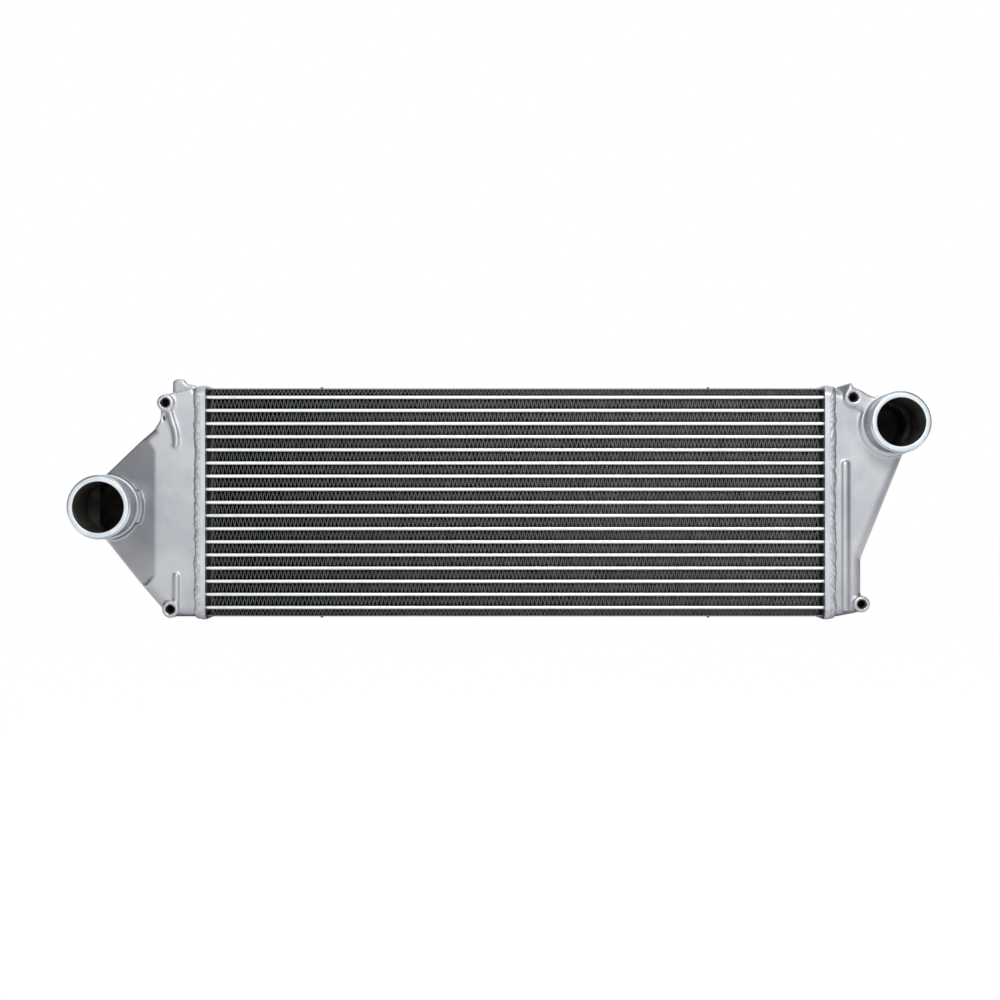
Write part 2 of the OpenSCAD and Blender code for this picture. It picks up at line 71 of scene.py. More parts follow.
# Cast end tanks
# Each tank is one gravity casting in aluminium, fine-blasted to an even pale grey, with its bosses,
# ribs and lug cast on. The skin follows the CAD solid, with every corner rounded as a mould leaves it.
# The inside and the narrow holes are painted dark, as painted shade.
CAST_GREY = "#C1C3C8"
CAST_GREY_DULL = "#B2B4BA"
CAST_EDGE_WEAR_AND_HIGHLIGHT = "#D3D5DA"
CAST_CREVICE_SHADE = "#77787C"
CAST_UNDERSIDE_SHADE = "#7E8085"
CAST_ROUGHNESS = 0.42
CAST_BLOTCH = 0.045
EDGE_WEAR_AND_HIGHLIGHT_BEND = (0.51, 0.58)
CREVICE_SHADE_BEND = (0.49, 0.43)
UNDERSIDE_SHADE_TURN = (-0.55, -0.95)
MOULD_WAVE = 0.016
MOULD_WAVE_DEPTH = 0.0010
BLAST_GRIT = 0.0012
BLAST_GRIT_DEPTH = 0.00022
INSIDE_SHADE_BLACK = "#45433F"
INSIDE_SHADE_GREY = "#67655F"
INSIDE_BLOTCH = 0.012
INSIDE_DEPTH = 0.0008
INSIDE_ROUGHNESS = 0.8
RAY_LIFT = 0.0003
HOLE_WIDTH = 0.012
EDGE_ANGLE = math.radians(38)
SKIN_VOXEL = 0.0011
SKIN_SMOOTHING = 10
SKIN_KEPT = 0.5
SAME_PLACE = 1e-6
NECK_CUT_BACK = 0.0002


def linear(colour):
    """An sRGB hex colour as linear red, green, blue and alpha."""
    parts = [int(colour[i:i + 2], 16) / 255 for i in (1, 3, 5)]
    return [p / 12.92 if p <= 0.04045 else ((p + 0.055) / 1.055) ** 2.4 for p in parts] + [1.0]


def add_node(tree, kind, settings=None, values=None, links=None):
    """Adds a node, with its settings, its sockets' values and the outputs that feed it."""
    made = tree.nodes.new(kind)
    for name, value in (settings or {}).items():
        setattr(made, name, value)
    for name, value in (values or {}).items():
        made.inputs[name].default_value = value
    for name, source in (links or {}).items():
        tree.links.new(source, made.inputs[name])
    return made


def bare_metal(name, roughness):
    """A new metal: its material, node tree and shader, and the place that its patterns read."""
    material = bpy.data.materials.new(name)
    material.use_nodes = True
    tree = material.node_tree
    shader = tree.nodes["Principled BSDF"]
    shader.inputs["Metallic"].default_value = 1.0
    shader.inputs["Roughness"].default_value = roughness
    place = add_node(tree, "ShaderNodeTexCoord").outputs["Object"]
    return material, tree, shader, place


def colour_ramp(tree, factor, stops):
    """A colour ramp over a factor, from places and hex colours."""
    made = add_node(tree, "ShaderNodeValToRGB", links={"Fac": factor})
    elements = made.color_ramp.elements
    while len(elements) < len(stops):
        elements.new(0.5)
    for element, (position, colour) in zip(elements, stops):
        element.position = position
        element.color = linear(colour)
    return made.outputs["Color"]


def tint_where(tree, base, value, span, colour):
    """Turns a colour towards another where a value passes from the first to the second number of a span."""
    share = add_node(tree, "ShaderNodeMapRange", values={"From Min": span[0], "From Max": span[1]},
                     links={"Value": value})
    mixed = add_node(tree, "ShaderNodeMix", {"data_type": "RGBA"})
    tree.links.new(share.outputs["Result"], mixed.inputs["Factor"])
    tree.links.new(base, mixed.inputs[6])
    mixed.inputs[7].default_value = linear(colour)
    return mixed.outputs[2]


def upwards(tree):
    """How far a surface turns up, or down where it is negative."""
    facing = add_node(tree, "ShaderNodeNewGeometry").outputs["Normal"]
    return add_node(tree, "ShaderNodeSeparateXYZ", links={"Vector": facing}).outputs["Z"]


def size_of(tree, value):
    """A value without its sign."""
    return add_node(tree, "ShaderNodeMath", {"operation": "ABSOLUTE"}, links={0: value}).outputs[0]


def noise_field(tree, place, size, detail=2.0):
    """A noise whose blotches are about a given size in metres."""
    return add_node(
        tree, "ShaderNodeTexNoise", values={"Scale": 1 / size, "Detail": detail}, links={"Vector": place}
    ).outputs["Fac"]


def bumps(tree, shader, *layers):
    """Adds layers of bump to a shader, each a height, a strength and a depth in metres."""
    normal = None
    for height, strength, depth in layers:
        links = {"Height": height}
        if normal:
            links["Normal"] = normal
        values = {"Strength": strength, "Distance": depth}
        normal = add_node(tree, "ShaderNodeBump", values=values, links=links).outputs["Normal"]
    tree.links.new(normal, shader.inputs["Normal"])


def blasted_casting():
    """Fine-blasted cast aluminium: an even sheen, the mould's slow waves, grit drawn coarse to show, convex
    edges lighter from wear and painted highlight, and painted shade in creases and underneath.
    """
    material, tree, shader, place = bare_metal("blasted_cast_aluminium", CAST_ROUGHNESS)
    blotch = noise_field(tree, place, CAST_BLOTCH, 3.0)
    grey = colour_ramp(tree, blotch, [(0.35, CAST_GREY_DULL), (0.62, CAST_GREY)])
    bend = add_node(tree, "ShaderNodeNewGeometry").outputs["Pointiness"]
    # Convex edges are lighter: part edge wear, part painted highlight.
    edge_worn_and_lit = tint_where(tree, grey, bend, EDGE_WEAR_AND_HIGHLIGHT_BEND, CAST_EDGE_WEAR_AND_HIGHLIGHT)
    # Painted shade: concave creases are darkened.
    crevice_shaded = tint_where(tree, edge_worn_and_lit, bend, CREVICE_SHADE_BEND, CAST_CREVICE_SHADE)
    # Painted shade: faces turned downwards are darkened.
    shaded = tint_where(tree, crevice_shaded, upwards(tree), UNDERSIDE_SHADE_TURN, CAST_UNDERSIDE_SHADE)
    tree.links.new(shaded, shader.inputs["Base Color"])
    bumps(
        tree, shader,
        (noise_field(tree, place, MOULD_WAVE, 1.0), 0.3, MOULD_WAVE_DEPTH),
        (noise_field(tree, place, BLAST_GRIT), 0.5, BLAST_GRIT_DEPTH),
    )
    return material


def painted_shade_inside():
    """Painted shade for the inside of the casting and its holes: dark and dull, with a few grey blotches."""
    material, tree, shader, place = bare_metal("casting_inside_painted_shade", INSIDE_ROUGHNESS)
    shader.inputs["Metallic"].default_value = 0.2
    shader.inputs["Specular IOR Level"].default_value = 0.1
    blotch = noise_field(tree, place, INSIDE_BLOTCH, 4.0)
    tree.links.new(colour_ramp(tree, blotch, [(0.45, INSIDE_SHADE_BLACK), (0.75, INSIDE_SHADE_GREY)]),
                   shader.inputs["Base Color"])
    bumps(tree, shader, (blotch, 0.6, INSIDE_DEPTH))
    return material


CAST = blasted_casting()
CAST_INSIDE_SHADE = painted_shade_inside()


def new_piece(name, mesh):
    """A new object at the origin, in the scene."""
    piece = bpy.data.objects.new(name, mesh)
    bpy.context.scene.collection.objects.link(piece)
    return piece


def worked_out(piece, name):
    """The piece with its modifiers worked out into a plain mesh."""
    graph = bpy.context.evaluated_depsgraph_get()
    mesh = bpy.data.meshes.new_from_object(piece.evaluated_get(graph))
    bpy.data.objects.remove(piece)
    mesh.name = name
    return new_piece(name, mesh)


def merged_copy(node, name):
    """A copy of a CAD node's mesh with its loose triangles joined up."""
    mesh = frame["nodes"][node].data.copy()
    skin = bmesh.new()
    skin.from_mesh(mesh)
    bmesh.ops.remove_doubles(skin, verts=skin.verts, dist=SAME_PLACE)
    skin.to_mesh(mesh)
    skin.free()
    return new_piece(name, mesh)


def seat(piece, slot, *nodes):
    """Shades a piece smooth between its edges and sets it in place of CAD nodes. Its slot argument is not
    used.
    """
    piece.data.shade_smooth()
    piece.data.set_sharp_from_angle(angle=EDGE_ANGLE)
    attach(piece, "root")
    if nodes:
        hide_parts(*nodes)


def port_mouth(side):
    """The middle of a port's mouth, and the radius of its bore."""
    mount = next(m for m in frame["record"]["mounts"] if m["name"] == side + "_port_bore")
    middle = Vector((mount["pos_m"][0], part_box("left_tank")[0].y, mount["pos_m"][2]))
    return middle, mount["dims"]["r_mm"] / 1000


def inside_faces(mesh, outward, mouth, bore_r):
    """The faces of the inside, open at most to the port or the core, and those down in a narrow hole, which
    take the painted shade.
    """
    walls = BVHTree.FromPolygons([v.co for v in mesh.vertices], [f.vertices for f in mesh.polygons])
    sideways = [Vector(way) for way in ((0, 0, -1), (0, 0, 1), (outward, 0, 0), (-outward, 0, 0))]
    found = []
    for face in mesh.polygons:
        start = face.center + face.normal * RAY_LIFT
        covered = walls.ray_cast(start, Vector((0, -1, 0)))[0] is not None
        behind_port = (face.center.xz - mouth.xz).length < bore_r + RAY_LIFT
        backed = walls.ray_cast(start, Vector((0, 1, 0)))[0] is not None
        reaches = [walls.ray_cast(start, way)[3] for way in sideways]
        walled = backed + sum(reach is not None for reach in reaches[:3])
        in_hole = all(reach is not None and reach < HOLE_WIDTH for reach in reaches)
        if in_hole or ((covered or behind_port) and walled >= 3):
            found.append(face)
    return found


def cast_tank(side, shoulder_y):
    """A tank's casting as one rounded skin, cut off square where its turned neck begins."""
    node = side + "_tank"
    low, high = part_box(node)
    mouth, bore_r = port_mouth(side)
    cutter_mesh = bpy.data.meshes.new("cutter")
    block = bmesh.new()
    width = high - low
    reach = Vector((2 * width.x, 2 * (shoulder_y - low.y), 2 * width.z))
    centre = Vector(((low.x + high.x) / 2, low.y, (low.z + high.z) / 2))
    placing = Matrix.Translation(centre) @ Matrix.Diagonal((*reach, 1.0))
    bmesh.ops.create_cube(block, size=1.0, matrix=placing)
    block.to_mesh(cutter_mesh)
    block.free()
    cutter = new_piece("cutter", cutter_mesh)
    skin = merged_copy(node, node + "_skin")
    cut = skin.modifiers.new("neck", "BOOLEAN")
    cut.solver = "EXACT"
    cut.object = cutter
    voxels = skin.modifiers.new("skin", "REMESH")
    voxels.mode = "VOXEL"
    voxels.voxel_size = SKIN_VOXEL
    rounds = skin.modifiers.new("rounds", "SMOOTH")
    rounds.iterations = SKIN_SMOOTHING
    fewer = skin.modifiers.new("fewer", "DECIMATE")
    fewer.ratio = SKIN_KEPT
    piece = worked_out(skin, node + "_casting")
    bpy.data.objects.remove(cutter)
    piece.data.materials.clear()
    piece.data.materials.append(CAST)
    piece.data.materials.append(CAST_INSIDE_SHADE)
    # The inside faces take the painted dark shade.
    for face in inside_faces(piece.data, -1 if side == "left" else 1, mouth, bore_r):
        face.material_index = 1
    seat(piece, "cast_tank", node)


boss_mount = next(m for m in frame["record"]["mounts"] if m["name"] == "upper_left_boss")
shoulder_y = boss_mount["pos_m"][1] - boss_mount["dims"]["length_mm"] / 2000 - NECK_CUT_BACK
for side in ("left", "right"):
    cast_tank(side, shoulder_y)


# Hose ports
# The neck stands out of the casting, and its mouth and hose bead are turned bright on a lathe.
# The neck behind the bead keeps the blasted cast face, and runs out into the casting's shoulder at its foot.
NECK_WALL = 0.0046
BEAD_RISE = 0.0018
BEAD_BACK = 0.0052
BEAD_LAND = 0.0030
LIP_ROUND = 0.0004
FOOT_FILLET = 0.0024
TURNED_BRIGHT = "#E6EDF2"
TURNED_GREY = "#D9E1E7"
TURNED_FLANK_SHADE = "#868C92"
TURNED_BLOTCH = 0.012
FLANK_SHADE_TURN = (0.45, 0.9)
BEAD_ARC = 62
PORT_SIDES = 128
BORE_LINER = 0.0001
NECK_ROOT = 0.0030


def turned_bright():
    """Turned aluminium: bright and clean, with slight clouds from handling, and painted shade greying its
    upper and lower flanks.
    """
    material, tree, shader, place = bare_metal("turned_aluminium", 0.30)
    clouds = noise_field(tree, place, TURNED_BLOTCH)
    bright = colour_ramp(tree, clouds, [(0.4, TURNED_GREY), (0.6, TURNED_BRIGHT)])
    # Painted shade: faces turning up or down are greyed.
    shade_facing = size_of(tree, upwards(tree))
    flank_shaded = tint_where(tree, bright, shade_facing, FLANK_SHADE_TURN, TURNED_FLANK_SHADE)
    tree.links.new(flank_shaded, shader.inputs["Base Color"])
    return material


TURNED = turned_bright()


def arc(centre, radius, start, end, steps):
    """Points of an arc in a port's section, as distance from the axis and depth from the mouth."""
    turns = [math.radians(start + (end - start) * k / steps) for k in range(steps + 1)]
    return [(centre[0] + radius * math.cos(t), centre[1] + radius * math.sin(t)) for t in turns]


def port_section(bore_r, foot_y, root_y):
    """A port's closed section, from the inside of its bore round the mouth to its root."""
    neck_r = bore_r + NECK_WALL
    bead_r = neck_r + BEAD_RISE
    lip = LIP_ROUND
    start = BEAD_BACK - BEAD_LAND / 2
    end = BEAD_BACK + BEAD_LAND / 2
    round_r = BEAD_LAND / 2 + BEAD_RISE * 0.45
    points = [(bore_r - BORE_LINER, root_y, "inside")]
    points += [(bore_r - BORE_LINER, 4 * lip, "inside"), (bore_r - BORE_LINER, 1.6 * lip, "turned")]
    points += [(x, y, "turned") for x, y in arc((bore_r + lip, lip), lip, 180, 270, 4)]
    points += [(x, y, "turned") for x, y in arc((neck_r - lip, lip), lip, 270, 360, 4)]
    points += [(neck_r, start - BEAD_RISE * 0.6, "turned")]
    crest = arc((bead_r - round_r, BEAD_BACK), round_r, -BEAD_ARC, BEAD_ARC, 12)
    points += [(max(x, neck_r), y, "turned") for x, y in crest]
    points += [(neck_r, end + BEAD_RISE * 0.6, "neck"), (neck_r, end + 3 * BEAD_RISE, "neck")]
    fillet = arc((neck_r + FOOT_FILLET, foot_y - FOOT_FILLET), FOOT_FILLET, 180, 90, 8)
    points += [(x, y, "neck") for x, y in fillet]
    points += [(neck_r + FOOT_FILLET, root_y, "neck")]
    return points


def turned_port(side, foot_y, root_y):
    """A port turned about its axis, from its section."""
    mouth, bore_r = port_mouth(side)
    section = port_section(bore_r, foot_y - mouth.y, root_y - mouth.y)
    kinds = ["neck", "turned", "inside"]
    mesh = bpy.data.meshes.new(side + "_port")
    shell = bmesh.new()
    rings = []
    for k in range(PORT_SIDES):
        turn = 2 * math.pi * k / PORT_SIDES
        spoke = Vector((math.cos(turn), 0, math.sin(turn)))
        places = [mouth + spoke * point[0] + Vector((0, point[1], 0)) for point in section]
        rings.append([shell.verts.new(place) for place in places])
    count = len(section)
    for k, ring in enumerate(rings):
        following = rings[(k + 1) % PORT_SIDES]
        for i in range(count):
            j = (i + 1) % count
            face = shell.faces.new((ring[i], ring[j], following[j], following[i]))
            face.material_index = kinds.index(section[i][2] if j else "inside")
    bmesh.ops.recalc_face_normals(shell, faces=shell.faces)
    shell.to_mesh(mesh)
    shell.free()
    piece = new_piece(side + "_port", mesh)
    # The port's bore takes the painted shade of the casting's inside.
    for material in (CAST, TURNED, CAST_INSIDE_SHADE):
        mesh.materials.append(material)
    seat(piece, "cast_tank")


shoulder_face_y = shoulder_y + NECK_CUT_BACK
for side in ("left", "right"):
    turned_port(side, shoulder_face_y, shoulder_face_y + NECK_ROOT)


# Headers
# Each header is a pan pressed from aluminium sheet, which holds the tube ends in its slots and takes the
# tank's rim in its flange. It follows the CAD, with its outer edges rounded by the press.
HEADER_GREY = "#CFD2D6"
HEADER_DULL = "#BFC2C6"
HEADER_GAP_LIT = "#A6A8AA"
HEADER_GAP_SHADE = "#454749"
GAP_SHADE_DEPTH = 0.016
PRESS_ROUND = 0.0009
PRESS_THINNED = 0.0011
SHEET_BLOTCH = 0.009
SHEET_DEPTH = 0.0004
SHEET_GRAIN_DEPTH = 0.0001
NEAR = 1e-5
OUTER_REACH = 0.47


def pressed_sheet():
    """Satin pressed sheet: faint blotches from the brazing furnace and a fine grain."""
    material, tree, shader, place = bare_metal("brazed_header_sheet", 0.36)
    stretched = add_node(tree, "ShaderNodeMapping", values={"Scale": (1.0, 1.0, 0.25)},
                         links={"Vector": place})
    blotch = noise_field(tree, stretched.outputs["Vector"], SHEET_BLOTCH, 4.0)
    tree.links.new(colour_ramp(tree, blotch, [(0.38, HEADER_DULL), (0.6, HEADER_GREY)]),
                   shader.inputs["Base Color"])
    grain = noise_field(tree, place, BLAST_GRIT)
    bumps(tree, shader, (blotch, 0.25, SHEET_DEPTH), (grain, 0.25, SHEET_GRAIN_DEPTH))
    return material


def header_face_painted_shade():
    """The header's face between the tubes, with painted shade: lighter at its front edge, dark behind."""
    material, tree, shader, place = bare_metal("painted_shade_header_face", 0.6)
    back = add_node(tree, "ShaderNodeSeparateXYZ", links={"Vector": place}).outputs["Y"]
    depth = add_node(tree, "ShaderNodeMapRange", links={"Value": back},
                     values={"From Min": tube_low.y, "From Max": tube_low.y + GAP_SHADE_DEPTH})
    tree.links.new(colour_ramp(tree, depth.outputs["Result"], [(0.0, HEADER_GAP_LIT), (1.0, HEADER_GAP_SHADE)]),
                   shader.inputs["Base Color"])
    return material


HEADER_SHEET = pressed_sheet()
HEADER_SHADE_FACE = header_face_painted_shade()


def pressed_header(side):
    """A header with its outer edges rounded over, thinner than its CAD plate, with painted shade on its face
    towards the core.
    """
    node = side + "_header"
    low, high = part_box(node)
    core_x, inset = (high.x, -PRESS_THINNED) if side == "left" else (low.x, PRESS_THINNED)
    piece = merged_copy(node, node + "_pan")
    shell = bmesh.new()
    shell.from_mesh(piece.data)
    bmesh.ops.dissolve_limit(shell, angle_limit=math.radians(1.0), verts=shell.verts, edges=shell.edges)
    weight = shell.edges.layers.float.new("bevel_weight_edge")
    for edge in shell.edges:
        ends = [v.co for v in edge.verts]
        at_side = any(all(abs(p.x - x) < NEAR for p in ends) for x in (low.x, high.x))
        at_corner = len(edge.link_faces) == 2 and edge.calc_face_angle() > math.radians(60)
        from_middle = (ends[0] + ends[1]) / 2 - core_middle
        reach = max(abs(from_middle.y) / (high.y - low.y), abs(from_middle.z) / (high.z - low.z))
        if at_side and at_corner and reach > OUTER_REACH:
            edge[weight] = 1.0
    for corner in shell.verts:
        if abs(corner.co.x - core_x) < NEAR:
            corner.co.x += inset
    shell.to_mesh(piece.data)
    shell.free()
    round_over = piece.modifiers.new("round_over", "BEVEL")
    round_over.limit_method = "WEIGHT"
    round_over.width = PRESS_ROUND
    round_over.segments = 3
    piece = worked_out(piece, node + "_pan")
    piece.data.materials.clear()
    piece.data.materials.append(HEADER_SHEET)
    piece.data.materials.append(HEADER_SHADE_FACE)
    stack_low, stack_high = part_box("bottom_side_plate")[0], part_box("top_side_plate")[1]
    split = bmesh.new()
    split.from_mesh(piece.data)
    for level in (stack_low.z, stack_high.z):
        everything = split.verts[:] + split.edges[:] + split.faces[:]
        bmesh.ops.bisect_plane(split, geom=everything, plane_co=(0, 0, level), plane_no=(0, 0, 1))
    split.to_mesh(piece.data)
    split.free()
    # The face towards the core, between the side plates, takes the painted shade.
    for face in piece.data.polygons:
        at_core = abs(face.center.x - core_x - inset) < 10 * NEAR and abs(face.normal.x) > 0.9
        if at_core and stack_low.z < face.center.z < stack_high.z and face.center.y > stack_low.y:
            face.material_index = 1
    seat(piece, "header_sheet", node)
    for face in piece.data.polygons:
        face.use_smooth = False


for side in ("left", "right"):
    pressed_header(side)


# Weld beads
# One bead of weld metal runs round each tank's rim and joins it to the header's flange. Its ripples are the
# weld pool's crescents, and its toe wanders a little on the casting.
WELD_GREY = "#B4B5BA"
WELD_BRIGHT = "#CFD0D5"
WELD_DIP_SHADE = "#A0A0A5"
TOE_SHADE = "#97979C"
WELD_RISE = 0.00267
RIM_ROUND = 0.008
RIPPLE_PITCH = 0.0060
RIPPLE_DEPTH = 0.00016
RIPPLE_LAG = 0.0034
RIPPLE_DRIFT = 0.019
TOE_WANDER = 0.0024
TOE_WANDER_LENGTH = 0.0085
TOE_STRIPS = 2
BEAD_STEP = 0.0010
BEAD_STRIPS = 12
BEAD_SINK = 0.0004
CROWN_SHARE = 0.88
CROWN_CHANGE = 0.16
WELD_BLOTCH = 0.004
WELD_DEPTH = 0.0005
WELD_DIP_BEND = (0.485, 0.40)
TOE_BLOTCH = 0.005
WANDER_STARTS = {"left": 7.3, "right": 2.1}


def weld_metal():
    """Weld metal: satin grey, bright on its ripples, with painted shade darkening their dips."""
    material, tree, shader, place = bare_metal("rippled_weld_metal", 0.40)
    blotch = noise_field(tree, place, WELD_BLOTCH, 3.0)
    grey = colour_ramp(tree, blotch, [(0.36, WELD_GREY), (0.62, WELD_BRIGHT)])
    bend = add_node(tree, "ShaderNodeNewGeometry").outputs["Pointiness"]
    # Painted shade: the concave dips are darkened.
    shaded = tint_where(tree, grey, bend, WELD_DIP_BEND, WELD_DIP_SHADE)
    tree.links.new(shaded, shader.inputs["Base Color"])
    bumps(tree, shader, (blotch, 0.3, WELD_DEPTH))
    return material


def weld_toe_shade():
    """Painted shade: a darker line in the groove along a bead's toe."""
    material, tree, shader, place = bare_metal("weld_toe_painted_shade", 0.6)
    blotch = noise_field(tree, place, TOE_BLOTCH, 3.0)
    tree.links.new(colour_ramp(tree, blotch, [(0.4, TOE_SHADE), (0.65, WELD_DIP_SHADE)]),
                   shader.inputs["Base Color"])
    return material


WELD = weld_metal()
WELD_TOE_SHADE = weld_toe_shade()


def rim_route(low, high, step):
    """Points and outward directions round a rounded rectangle in Y and Z."""
    stations = []
    corners = [(high.y - RIM_ROUND, high.z - RIM_ROUND, 0), (low.y + RIM_ROUND, high.z - RIM_ROUND, 90),
               (low.y + RIM_ROUND, low.z + RIM_ROUND, 180), (high.y - RIM_ROUND, low.z + RIM_ROUND, 270)]
    for k, (y, z, turn) in enumerate(corners):
        arc_steps = math.ceil(RIM_ROUND * math.pi / 2 / step)
        for i in range(arc_steps):
            angle = math.radians(turn + 90 * i / arc_steps)
            out = Vector((0, math.cos(angle), math.sin(angle)))
            stations.append((Vector((0, y, z)) + out * RIM_ROUND, out))
        last = math.radians(turn + 90)
        out = Vector((0, math.cos(last), math.sin(last)))
        start = Vector((0, y, z)) + out * RIM_ROUND
        next_y, next_z, _ = corners[(k + 1) % 4]
        end = Vector((0, next_y, next_z)) + out * RIM_ROUND
        line_steps = math.ceil((end - start).length / step)
        stations += [(start.lerp(end, i / line_steps), out) for i in range(line_steps)]
    return stations


def weld_bead(side):
    """A rippled bead swept round the rim, from the flange's face to its toe on the tank."""
    node = side + "_weld_bead"
    low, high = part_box(node)
    rise = Vector((0, WELD_RISE, WELD_RISE))
    stations = rim_route(low + rise, high - rise, BEAD_STEP)
    seam_x, out_x = (high.x, -1) if side == "left" else (low.x, 1)
    width = high.x - low.x
    mesh = bpy.data.meshes.new(node)
    shell = bmesh.new()
    rings = []
    travelled = 0.0
    for k, (point, out) in enumerate(stations):
        if k:
            travelled += (point - stations[k - 1][0]).length
        drift = point / TOE_WANDER_LENGTH + Vector((WANDER_STARTS[side], 0, 0))
        wander = noise.noise(drift) + 0.5 * noise.noise(drift * 2.7)
        reach = width - TOE_WANDER * min(max(0.5 - 0.55 * wander, 0.0), 1.0)
        crown = WELD_RISE * (CROWN_SHARE + CROWN_CHANGE * noise.noise(drift * 0.7 + Vector((0, 5, 0))))
        ring = []
        for i in range(BEAD_STRIPS + 1):
            share = i / BEAD_STRIPS
            round_share = math.sqrt(max(0.0, 1 - share ** 2.6))
            lag = RIPPLE_LAG * (1 - (2 * share - 0.9) ** 2)
            wobble = 1.6 * noise.noise(Vector((travelled / RIPPLE_DRIFT, 0.6 * share, drift.x)))
            phase = (travelled + lag) / RIPPLE_PITCH + wobble
            ripple = RIPPLE_DEPTH * (1 - abs(math.sin(math.pi * phase)) * 2) * math.sin(math.pi * share)
            lift = crown * round_share + ripple
            ring.append(shell.verts.new(Vector((seam_x + out_x * reach * share, 0, 0)) + point + out * lift))
        ring.append(shell.verts.new(Vector((seam_x + out_x * reach, 0, 0)) + point - out * BEAD_SINK))
        ring.append(shell.verts.new(Vector((seam_x, 0, 0)) + point - out * BEAD_SINK))
        rings.append(ring)
    count = BEAD_STRIPS + 3
    for k, ring in enumerate(rings):
        following = rings[(k + 1) % len(rings)]
        for i in range(count):
            j = (i + 1) % count
            face = shell.faces.new((ring[i], ring[j], following[j], following[i]))
            # The strips nearest the toe take the painted shade.
            face.material_index = int(BEAD_STRIPS - TOE_STRIPS <= i <= BEAD_STRIPS)
    bmesh.ops.recalc_face_normals(shell, faces=shell.faces)
    shell.to_mesh(mesh)
    shell.free()
    piece = new_piece(node + "_ripples", mesh)
    mesh.materials.append(WELD)
    mesh.materials.append(WELD_TOE_SHADE)
    seat(piece, "weld_metal", node)


for side in ("left", "right"):
    weld_bead(side)


# Flat tubes
# Seventeen tubes of bright clad aluminium sheet with fully round noses, brazed into the headers.
# Each has one wall of even thickness and stays open at both ends, inside the tanks.
TUBE_WALL = 0.0005
TUBE_BRIGHT = "#F4F6F7"
TUBE_DULL = "#E3E7EA"
TUBE_FLANK_SHADE = "#94979A"
TUBE_SHADE_TURN = (0.3, 0.98)
NOSE_STEPS = 8
ALMOST_HALF = 0.4999
DRAW_LINE = 0.0016
DRAW_LINE_DEPTH = 0.00012
FLUX_STAIN = 0.02

tube_count = sum(name.startswith("tube_") for name in frame["nodes"])
tube_names = ["tube_%02d" % k for k in range(1, tube_count + 1)]
tube_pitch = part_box(tube_names[0])[0].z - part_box(tube_names[1])[0].z


def clad_tube():
    """Bright drawn tube: flux stains, faint draw lines that are drawn coarse to show, and painted shade on
    its faces that turn up or down.
    """
    material, tree, shader, place = bare_metal("brazed_clad_tube", 0.27)
    along = add_node(tree, "ShaderNodeMapping", values={"Scale": (0.03, 1.0, 1.0)}, links={"Vector": place})
    lines = noise_field(tree, along.outputs["Vector"], DRAW_LINE, 3.0)
    stains = noise_field(tree, place, FLUX_STAIN, 4.0)
    both = add_node(tree, "ShaderNodeMath", {"operation": "MULTIPLY_ADD"}, links={0: lines, 2: stains})
    both.inputs[1].default_value = 0.5
    bright = colour_ramp(tree, both.outputs[0], [(0.5, TUBE_DULL), (0.72, TUBE_BRIGHT)])
    # Painted shade: faces turning up or down are greyed.
    shade_facing = size_of(tree, upwards(tree))
    flank_shaded = tint_where(tree, bright, shade_facing, TUBE_SHADE_TURN, TUBE_FLANK_SHADE)
    tree.links.new(flank_shaded, shader.inputs["Base Color"])
    bumps(tree, shader, (lines, 0.15, DRAW_LINE_DEPTH))
    return material


CLAD_TUBE = clad_tube()


def new_tree(name, inputs):
    """A Geometry Nodes tree with named size inputs."""
    tree = bpy.data.node_groups.new(name, "GeometryNodeTree")
    tree.interface.new_socket("Geometry", in_out="OUTPUT", socket_type="NodeSocketGeometry")
    for label, (kind, value) in inputs.items():
        socket = tree.interface.new_socket(label, in_out="INPUT", socket_type=kind)
        if value is not None:
            socket.default_value = value
    entry = add_node(tree, "NodeGroupInput")
    return tree, entry.outputs


def grown(name, tree, values):
    """The plain mesh that a Geometry Nodes tree grows with the given sizes."""
    piece = new_piece(name, bpy.data.meshes.new(name))
    grow = piece.modifiers.new("grow", "NODES")
    grow.node_group = tree
    for item in tree.interface.items_tree:
        if item.in_out == "INPUT" and item.name in values:
            grow[item.identifier] = values[item.name]
    return worked_out(piece, name)


def round_nosed(tree, sizes, inset):
    """A flat outline with round noses, drawn in by an inset."""
    def less(value):
        drawn_in = add_node(tree, "ShaderNodeMath", {"operation": "MULTIPLY_ADD"}, links={2: value})
        drawn_in.inputs[0].default_value = -2.0
        if inset is None:
            drawn_in.inputs[1].default_value = 0.0
        else:
            tree.links.new(inset, drawn_in.inputs[1])
        return drawn_in.outputs[0]

    depth, height = less(sizes["Depth"]), less(sizes["Height"])
    outline = add_node(tree, "GeometryNodeCurvePrimitiveQuadrilateral",
                       links={"Width": height, "Height": depth})
    almost_half = add_node(tree, "ShaderNodeMath", {"operation": "MULTIPLY"}, links={0: height})
    almost_half.inputs[1].default_value = ALMOST_HALF
    rounded = add_node(
        tree, "GeometryNodeFilletCurve", {"mode": "POLY"}, {"Count": NOSE_STEPS},
        {"Curve": outline.outputs["Curve"], "Radius": almost_half.outputs[0]})
    return rounded.outputs["Curve"]


